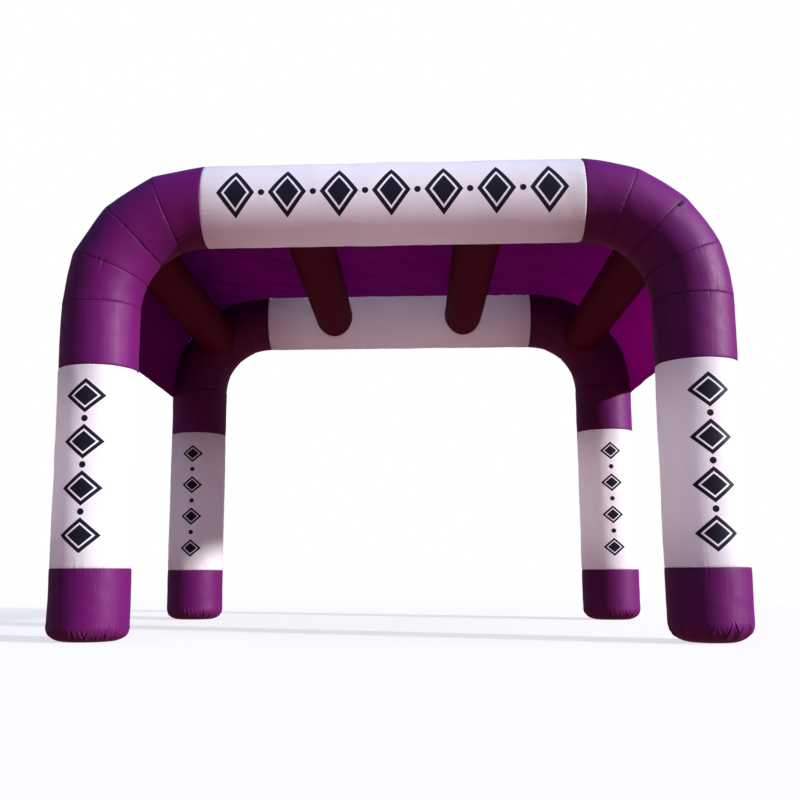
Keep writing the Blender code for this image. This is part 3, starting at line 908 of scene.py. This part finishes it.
def lozenges(tree, measure, pitch, half_across, half_along, count):
    """Mask of a plain printed row: ringed lozenges with a dot between each two."""
    parts = add_node(tree, "ShaderNodeSeparateXYZ", {0: measure})
    across = calc(tree, "ABSOLUTE", parts.outputs[0])
    along = parts.outputs[1]
    shift = 0.0 if count % 2 else 0.5
    step = calc(tree, "ADD", calc(tree, "DIVIDE", along, pitch), 0.5 + shift)
    local = calc(tree, "ABSOLUTE", calc(tree, "SUBTRACT", calc(tree, "FRACT", step), 0.5))
    local = calc(tree, "MULTIPLY", local, pitch)
    far = calc(tree, "DIVIDE", across, half_across)
    far = calc(tree, "ADD", far, calc(tree, "DIVIDE", local, half_along))
    inside = calc(tree, "LESS_THAN", far, 1.0)
    ring = calc(tree, "GREATER_THAN", far, RING_INSIDE)
    ring = calc(tree, "MULTIPLY", ring, calc(tree, "LESS_THAN", far, RING_OUTSIDE))
    shape = calc(tree, "SUBTRACT", inside, ring)
    between = calc(tree, "SUBTRACT", local, pitch / 2)
    squares = calc(tree, "POWER", between, 2.0)
    squares = calc(tree, "ADD", squares, calc(tree, "POWER", across, 2.0))
    dot = calc(tree, "LESS_THAN", calc(tree, "SQRT", squares), DOT_RADIUS)
    shape = calc(tree, "MAXIMUM", shape, dot)
    end = calc(tree, "LESS_THAN", calc(tree, "ABSOLUTE", along), pitch * (count / 2 - 0.1))
    return calc(tree, "MULTIPLY", shape, end)


def white_material(name, print_size):
    """White coated cloth that lets some light through, with or without a print."""
    return cloth_material(name, WHITE, SHADED_WHITE, 0.50, print_size=print_size, glow=LIT_WHITE)


def webbing_and_painted_shade_material():
    """Ribbed woven webbing, near-black so that it also paints the shade under the tab."""
    material = bpy.data.materials.new("dark_webbing_painted_shade_ribbed")
    material.use_nodes = True
    tree = material.node_tree
    shader = tree.nodes["Principled BSDF"]
    measure = add_node(tree, "ShaderNodeUVMap", uv_map="cloth").outputs[0]
    threads = weave(tree, measure, WEBBING_PITCH)
    share = calc(tree, "ADD", calc(tree, "MULTIPLY", threads, 0.5), 0.5)
    # near-black colours: the webbing's own dark and painted shade under the tab
    colour = mix_colour(tree, share, (0.012, 0.004, 0.014), (0.030, 0.010, 0.034))
    tree.links.new(colour, shader.inputs["Base Color"])
    shader.inputs["Roughness"].default_value = 0.72
    tree.links.new(bump(tree, 0.6, WEBBING_RIB, threads), shader.inputs["Normal"])
    return material


def add_camera():
    """The photograph's camera."""
    data = bpy.data.cameras.new("camera")
    data.sensor_width = SENSOR
    data.lens = FOCAL_PIXELS / PICTURE * SENSOR
    data.shift_x = (PICTURE / 2 - CENTRE_PIXEL_X) / PICTURE
    data.clip_start = 0.1
    data.clip_end = 500.0
    camera = bpy.data.objects.new("camera", data)
    bpy.context.scene.collection.objects.link(camera)
    ahead = Vector((
        math.sin(CAMERA_YAW) * math.cos(CAMERA_PITCH),
        math.cos(CAMERA_YAW) * math.cos(CAMERA_PITCH),
        math.sin(CAMERA_PITCH),
    ))
    turn = ahead.to_track_quat("-Z", "Y").to_matrix().to_4x4()
    camera.matrix_world = Matrix.Translation(CAMERA_PLACE) @ turn @ Matrix.Rotation(CAMERA_ROLL, 4, "Z")
    bpy.context.scene.camera = camera


def add_sun(name, azimuth, elevation, strength, colour, spread):
    """A distant soft light. Azimuth is counted from the front, towards the right."""
    data = bpy.data.lights.new(name, "SUN")
    data.energy = strength
    data.color = colour
    data.angle = math.radians(spread)
    lamp = bpy.data.objects.new(name, data)
    bpy.context.scene.collection.objects.link(lamp)
    a, e = math.radians(azimuth), math.radians(elevation)
    toward = Vector((math.sin(a) * math.cos(e), -math.cos(a) * math.cos(e), math.sin(e)))
    lamp.rotation_mode = "QUATERNION"
    lamp.rotation_quaternion = toward.to_track_quat("Z", "Y")


def add_studio():
    """A plain pale floor, a white backdrop and soft light."""
    scene = bpy.context.scene
    scene.view_settings.view_transform = "Standard"
    scene.view_settings.gamma = VIEW_GAMMA
    world = bpy.data.worlds.new("studio")
    scene.world = world
    world.use_nodes = True
    tree = world.node_tree
    back = tree.nodes["Background"]
    way = add_node(tree, "ShaderNodeTexCoord").outputs["Generated"]
    up = add_node(tree, "ShaderNodeSeparateXYZ", {0: way}).outputs[2]
    rise = calc(tree, "MAXIMUM", up, 0.0)
    sky = mix_colour(tree, rise, HORIZON, ZENITH)
    over = add_node(tree, "ShaderNodeMapRange", {0: up, 1: GROUND_TOP, 2: SKY_BOTTOM}).outputs[0]
    colour = mix_colour(tree, over, GROUND_LIGHT, sky)
    tree.links.new(colour, back.inputs["Color"])
    back.inputs["Strength"].default_value = 1.0
    for sun in SUNS:
        add_sun(*sun)
    add_floor()
    add_backdrop()


def emission_mix(name, pale, share):
    """Matt pale paint that turns into plain white light. share builds how far, in the tree."""
    material = bpy.data.materials.new(name)
    material.use_nodes = True
    tree = material.node_tree
    shader = tree.nodes["Principled BSDF"]
    shader.inputs["Base Color"].default_value = (*pale, 1.0)
    shader.inputs["Roughness"].default_value = 0.9
    shader.inputs["Specular IOR Level"].default_value = 0.1
    glow = add_node(tree, "ShaderNodeEmission", {"Color": (1.0, 1.0, 1.0, 1.0), "Strength": 1.0})
    both = {0: share(tree), 1: shader.outputs[0], 2: glow.outputs[0]}
    surface = add_node(tree, "ShaderNodeMixShader", both).outputs[0]
    tree.links.new(surface, tree.nodes["Material Output"].inputs["Surface"])
    return material


def add_floor():
    """A round pale floor that fades into the white backdrop."""
    mesh = bpy.data.meshes.new("floor")
    turns = [2 * math.pi * step / FLOOR_SIDES for step in range(FLOOR_SIDES)]
    rim = [(FLOOR_REACH * math.cos(turn), FLOOR_REACH * math.sin(turn), -FLOOR_DROP) for turn in turns]
    mesh.from_pydata(rim, [], [tuple(range(FLOOR_SIDES))])

    def far(tree):
        place = add_node(tree, "ShaderNodeTexCoord").outputs["Object"]
        away = add_node(tree, "ShaderNodeVectorMath", {0: place}, operation="LENGTH").outputs["Value"]
        inputs = {0: away, 1: FLOOR_FADE_START, 2: FLOOR_FADE_END, 3: FLOOR_OWN_LIGHT, 4: 1.0}
        fade = add_node(tree, "ShaderNodeMapRange", inputs, interpolation_type="SMOOTHSTEP")
        return fade.outputs[0]

    mesh.materials.append(emission_mix("pale_floor", PALE_FLOOR, far))
    floor = bpy.data.objects.new("floor", mesh)
    bpy.context.scene.collection.objects.link(floor)
    floor.visible_diffuse = False
    floor.visible_glossy = False


def add_backdrop():
    """A far white dome that only the camera sees."""
    mesh = bpy.data.meshes.new("backdrop")
    sides = BACKDROP_SIDES
    spots = []
    for level in range(BACKDROP_LEVELS + 1):
        rise = math.radians(BACKDROP_LOW + (90.0 - BACKDROP_LOW) * level / BACKDROP_LEVELS)
        for step in range(sides):
            turn = 2 * math.pi * step / sides
            spots.append((
                BACKDROP_REACH * math.cos(rise) * math.cos(turn),
                BACKDROP_REACH * math.cos(rise) * math.sin(turn),
                BACKDROP_REACH * math.sin(rise),
            ))
    faces = []
    for level in range(BACKDROP_LEVELS):
        for step in range(sides):
            here = level * sides + step
            after = level * sides + (step + 1) % sides
            faces.append((here, here + sides, after + sides, after))
    mesh.from_pydata(spots, [], faces)
    mesh.materials.append(emission_mix("white_backdrop", (1.0, 1.0, 1.0), lambda tree: 1.0))
    dome = bpy.data.objects.new("backdrop", mesh)
    bpy.context.scene.collection.objects.link(dome)
    dome.visible_diffuse = False
    dome.visible_glossy = False
    dome.visible_transmission = False
    dome.visible_shadow = False


# Tones of the panels and gathers of the feet, as uneven as the photograph shows
GORE_TONES = (0.05, -0.06, 0.04, -0.03)
FOOT_TONE = 0.02
UPPER_LEG_TONE = -0.02
# the joining tubes are darkened further: painted shade under the roof
MID_PAINTED_SHADE = 0.10
EAVE_PAINTED_SHADE = 0.12
FOOT_GATHERS = {
    # arch and side: (strength, count, height of the base seam)
    ("front", "left"): (1.0, 46, 0.034),
    ("front", "right"): (1.25, 32, 0.058),
    ("rear", "left"): (1.1, 42, 0.036),
    ("rear", "right"): (1.0, 40, 0.040),
}


def add_arches(purple, whites):
    """Both arches, panel by panel. Whites are the band materials of each arch: beam, then legs."""
    pieces = []
    for arch, y, seed in (("front", -ARCH_Y, 100), ("rear", ARCH_Y, 300)):
        beam_white, leg_white = whites[arch]
        for side_name, side in (("left", -1), ("right", 1)):
            base = seed + (50 if side > 0 else 0)
            x = side * LEG_X
            gather = FOOT_GATHERS[(arch, side_name)]
            foot = "%s_foot_%s" % (arch, side_name)
            band = "%s_leg_band_%s" % (arch, side_name)
            upper = "%s_upper_leg_%s" % (arch, side_name)
            seeds = (base, base + 9)
            pieces.append(foot_panel(foot, x, y, seeds, gather, purple, FOOT_TONE))
            seeds = (base + 1, base)
            piece = straight_panel(band, x, y, BAND_HIGH, BAND_LOW, seeds, leg_white, 0.0)
            pieces.append(piece)
            seeds = (base + 2, base + 1)
            tone = UPPER_LEG_TONE
            piece = straight_panel(upper, x, y, BEND_Z, BAND_HIGH, seeds, purple, tone)
            pieces.append(piece)
            for number in range(GORES):
                name = "%s_gore_%s_%d" % (arch, side_name, number + 1)
                seeds = (base + 2 + GORES - number, base + 1 + GORES - number)
                tone = GORE_TONES[number] * side
                pieces.append(gore_panel(name, number, side, y, seeds, purple, tone))
        ends = (seed + 2 + GORES, seed + 52 + GORES)
        pieces.append(beam_panel("%s_beam_band" % arch, y, ends, beam_white))
    return pieces


def add_purlins(purple):
    """The four air tubes between the arches, in the darker, redder purple that paints their shade."""
    pieces = []
    for side_name, side, seed in (("left", -1, 500), ("right", 1, 560)):
        for kind, x, z, end, turn, tone in (
            ("mid", MID_X, MID_Z, mid_end, 0, MID_PAINTED_SHADE),
            ("eave", EAVE_X, EAVE_Z, eave_end, 20, EAVE_PAINTED_SHADE),
        ):
            node = "%s_purlin_%s" % (kind, side_name)
            piece = purlin_panel(node, side * x, z, end, seed + turn, purple, tone)
            pieces.append(piece)
    return pieces


add_camera()
purple = cloth_material(
    "purple_coated_oxford",
    (0.135, 0.0060, 0.125),
    (0.100, 0.0040, 0.098),
    0.55,
    gloss=0.26,
)
# the joining tubes get their own darker, redder copy of the purple: painted shade of the roof above them
painted_shade_purple = cloth_material(
    "purple_joining_tube_painted_shade",
    (0.120, 0.0035, 0.046),
    (0.094, 0.0025, 0.036),
    0.62,
    gloss=0.04,
)
whites = {
    "front": (
        white_material("white_coated_beam", BEAM_PRINT),
        white_material("white_coated_leg", LEG_PRINT),
    ),
    "rear": (
        white_material("white_coated_rear_beam", None),
        white_material("white_coated_rear_leg", REAR_LEG_PRINT),
    ),
}
roof = cloth_material(
    "purple_roof_cloth",
    (0.145, 0.004, 0.120),
    (0.110, 0.003, 0.100),
    0.60,
    crumple=0.35,
    gloss=0.04,
    glow=((0.58, 0.004, 0.47), (0.38, 0.002, 0.31), 0.50),
)
tubes = add_arches(purple, whites) + add_purlins(painted_shade_purple)
add_canopy(roof)
add_tab(webbing_and_painted_shade_material())
add_studio()
